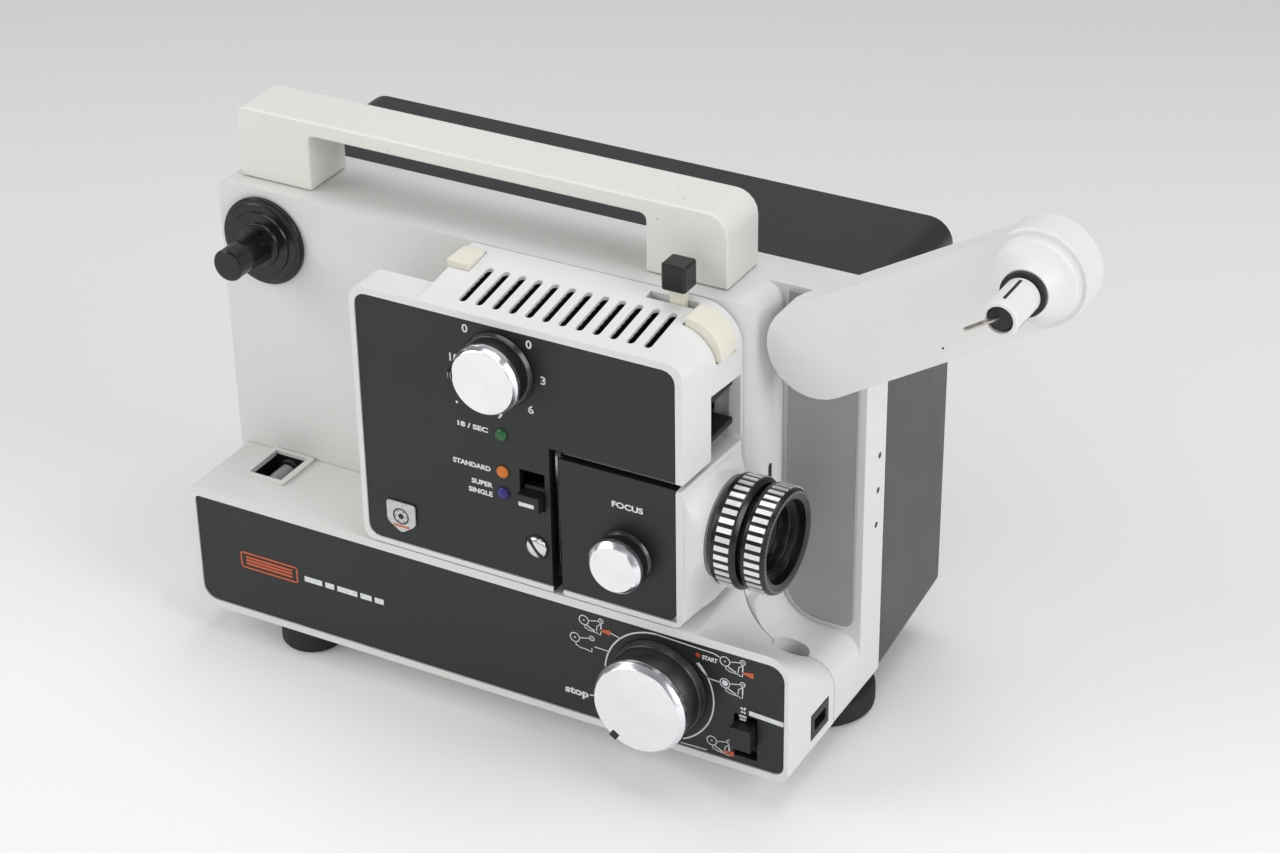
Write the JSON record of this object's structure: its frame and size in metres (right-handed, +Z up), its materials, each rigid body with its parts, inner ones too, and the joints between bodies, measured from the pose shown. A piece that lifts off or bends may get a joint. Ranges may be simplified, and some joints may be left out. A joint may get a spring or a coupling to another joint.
{
  "type": "cine film projector",
  "caption": "Dual-gauge 8 mm cine projector with white housing, dark front panels, carry handle, swing-out lens door and folding feed arm",
  "frame": {"origin": "centre of the bounding box, on the plane that the feet stand on", "axes": "+X along the lens axis towards the screen, +Y away from the operator, +Z up"},
  "size_m": [0.3408, 0.1478, 0.2274],
  "materials": {
    "white_plastic": "light grey-white moulded plastic, fine matt grain",
    "cream_plastic": "cream moulded plastic, slightly yellowed",
    "black_plastic": "black moulded plastic",
    "dark_panel": "dark charcoal fascia with white and orange legends",
    "rear_plastic": "charcoal moulded plastic",
    "grey_plastic": "mid grey plastic sheet",
    "rubber": "black rubber",
    "spun_aluminium": "spun aluminium with bright bevelled rim",
    "black_metal": "black anodised metal with bright knurl flats",
    "steel": "plated steel",
    "glass": "coated lens glass",
    "green_lens": "green indicator lens",
    "orange_lens": "orange indicator lens",
    "blue_lens": "blue indicator lens",
    "badge": "light badge plate with a plain device"
  },
  "bodies": {
    "chassis": {"base_shell": "white_plastic", "base_panel": "dark_panel", "film_trimmer": "black_plastic", "body_shell": "white_plastic", "recess_liner": "grey_plastic", "arm_pivot": "steel", "carry_handle": "cream_plastic", "rear_cover": "rear_plastic", "power_inlet": "black_plastic", "front_foot": "rubber", "rear_foot": "rubber", "mechanism_cover": "white_plastic", "mechanism_panel": "dark_panel", "indicator_green": "green_lens", "indicator_orange": "orange_lens", "indicator_blue": "blue_lens", "badge_plate": "badge", "cover_screw": "steel", "mechanism_plate": "steel", "film_gate": "steel", "film_chute": "black_plastic", "lamp_reflector": "spun_aluminium", "lamp_bulb": "glass", "lamp_socket": "cream_plastic", "motor": "steel", "transformer": "steel"},
    "take_up_reel_spindle": {"take_up_spindle": "black_plastic"},
    "arm": {"feed_arm": "white_plastic", "spindle_collar": "black_plastic"},
    "feed_reel_spindle": {"feed_spindle": "white_plastic"},
    "key": {"spindle_key": "steel"},
    "speed_control": {"speed_knob": "black_plastic", "speed_knob_cap": "spun_aluminium"},
    "mode_control": {"mode_knob": "black_plastic", "mode_knob_cap": "spun_aluminium"},
    "door": {"lens_door": "white_plastic", "lens_door_panel": "dark_panel"},
    "focus_control": {"focus_knob": "black_plastic", "focus_knob_cap": "spun_aluminium"},
    "lens": {"lens_barrel": "black_metal", "lens_rear_ring": "black_metal", "lens_front_glass": "glass"},
    "zoom": {"zoom_ring": "black_metal"},
    "pressure": {"pressure_plate": "steel"},
    "format_selector": {"format_switch": "black_plastic"},
    "framing": {"framing_lever": "cream_plastic", "framing_knob": "black_plastic"},
    "trimmer": {"trimmer_lever": "black_plastic"},
    "catch_left": {"cover_catch_left": "cream_plastic"},
    "catch_right": {"cover_catch_right": "cream_plastic"},
    "film_exit_roller": {"exit_roller": "white_plastic"},
    "motor_rotor": {"motor_shaft": "steel", "cooling_fan": "black_plastic"},
    "drive_train": {"drive_shaft": "steel", "shutter": "black_plastic", "drive_wheel": "rubber"},
    "film_sprocket": {"drive_sprocket": "steel"},
    "claw": {"film_claw": "steel"},
    "tilt_screw": {"tilt_stem": "steel"},
    "tilt_foot": {"tilt_wheel": "rubber"}
  },
  "joints": [
    {"name": "take_up_spin", "type": "hinge", "parent": "chassis", "child": "take_up_reel_spindle", "pos_m": [-0.1506, -0.0173, 0.156], "axis": [0, 1, 0], "continuous": true},
    {"name": "arm_fold", "type": "hinge", "parent": "chassis", "child": "arm", "pos_m": [0.074, -0.0103, 0.163], "axis": [0, 1, 0], "range_deg": [0, 121]},
    {"name": "feed_spin", "type": "hinge", "parent": "arm", "child": "feed_reel_spindle", "pos_m": [0.1528, -0.0173, 0.2098], "axis": [0, 1, 0], "continuous": true},
    {"name": "key_tilt", "type": "hinge", "parent": "feed_reel_spindle", "child": "key", "pos_m": [0.1534, -0.0417, 0.2098], "axis": [0, 0, 1], "range_deg": [0, 28]},
    {"name": "speed_turn", "type": "hinge", "parent": "chassis", "child": "speed_control", "pos_m": [-0.0272, -0.0573, 0.151], "axis": [0, 1, 0], "range_deg": [-225, 45]},
    {"name": "mode_turn", "type": "hinge", "parent": "chassis", "child": "mode_control", "pos_m": [0.0352, -0.0573, 0.0377], "axis": [0, 1, 0], "range_deg": [0, 300]},
    {"name": "door_swing", "type": "hinge", "parent": "chassis", "child": "door", "pos_m": [0.0473, -0.0208, 0.095], "axis": [0, 0, -1], "range_deg": [-25, 0]},
    {"name": "focus_turn", "type": "hinge", "parent": "door", "child": "focus_control", "pos_m": [0.0224, -0.0573, 0.0887], "axis": [0, 1, 0], "range_deg": [-150, 150]},
    {"name": "lens_slide", "type": "slide", "parent": "door", "child": "lens", "axis": [1, 0, 0], "range_m": [-0.0015, 0.0015]},
    {"name": "zoom_turn", "type": "hinge", "parent": "lens", "child": "zoom", "pos_m": [0.0718, -0.0383, 0.1], "axis": [1, 0, 0], "range_deg": [-60, 60]},
    {"name": "pressure_slide", "type": "slide", "parent": "door", "child": "pressure", "axis": [1, 0, 0], "range_m": [0, 0.0015], "stiffness_N_per_m": 300, "springref_m": -0.001},
    {"name": "format_slide", "type": "slide", "parent": "chassis", "child": "format_selector", "axis": [0, 0, 1], "range_m": [0, 0.0075]},
    {"name": "framing_slide", "type": "slide", "parent": "chassis", "child": "framing", "axis": [1, 0, 0], "range_m": [-0.0085, 0.0035]},
    {"name": "trimmer_slide", "type": "slide", "parent": "chassis", "child": "trimmer", "axis": [0, 0, -1], "range_m": [0, 0.0055], "stiffness_N_per_m": 150, "springref_m": -0.002},
    {"name": "catch_left_press", "type": "slide", "parent": "chassis", "child": "catch_left", "axis": [0, 0, -1], "range_m": [0, 0.001], "stiffness_N_per_m": 400, "springref_m": -0.001},
    {"name": "catch_right_press", "type": "slide", "parent": "chassis", "child": "catch_right", "axis": [-0.7071, 0, -0.7071], "range_m": [0, 0.0008], "stiffness_N_per_m": 400, "springref_m": -0.001},
    {"name": "exit_roller_spin", "type": "hinge", "parent": "chassis", "child": "film_exit_roller", "pos_m": [-0.1452, -0.0298, 0.0585], "axis": [0, 1, 0], "continuous": true},
    {"name": "motor_spin", "type": "hinge", "parent": "chassis", "child": "motor_rotor", "pos_m": [-0.1082, 0.0062, 0.104], "axis": [1, 0, 0], "continuous": true},
    {"name": "drive_spin", "type": "hinge", "parent": "chassis", "child": "drive_train", "pos_m": [-0.0482, -0.0063, 0.104], "axis": [1, 0, 0], "continuous": true},
    {"name": "sprocket_spin", "type": "hinge", "parent": "chassis", "child": "film_sprocket", "pos_m": [0.0198, -0.0273, 0.139], "axis": [0, 1, 0], "continuous": true},
    {"name": "claw_stroke", "type": "slide", "parent": "chassis", "child": "claw", "axis": [0, 0, 1], "range_m": [-0.0021, 0.0021]},
    {"name": "tilt_lift", "type": "slide", "parent": "chassis", "child": "tilt_screw", "axis": [0, 0, 1], "range_m": [-0.008, 0]},
    {"name": "tilt_turn", "type": "hinge", "parent": "tilt_screw", "child": "tilt_foot", "pos_m": [0.0668, 0.0112, 0.007], "axis": [0, 0, 1], "range_deg": [-1440, 0]}
  ],
  "couplings": [
    {"joint": "focus_turn", "follows": "lens_slide", "rad_per_m": 1745.3},
    {"joint": "drive_spin", "follows": "motor_spin", "ratio": -0.35556},
    {"joint": "sprocket_spin", "follows": "motor_spin", "ratio": -0.02963},
    {"joint": "tilt_turn", "follows": "tilt_lift", "rad_per_m": 3141.5}
  ]
}
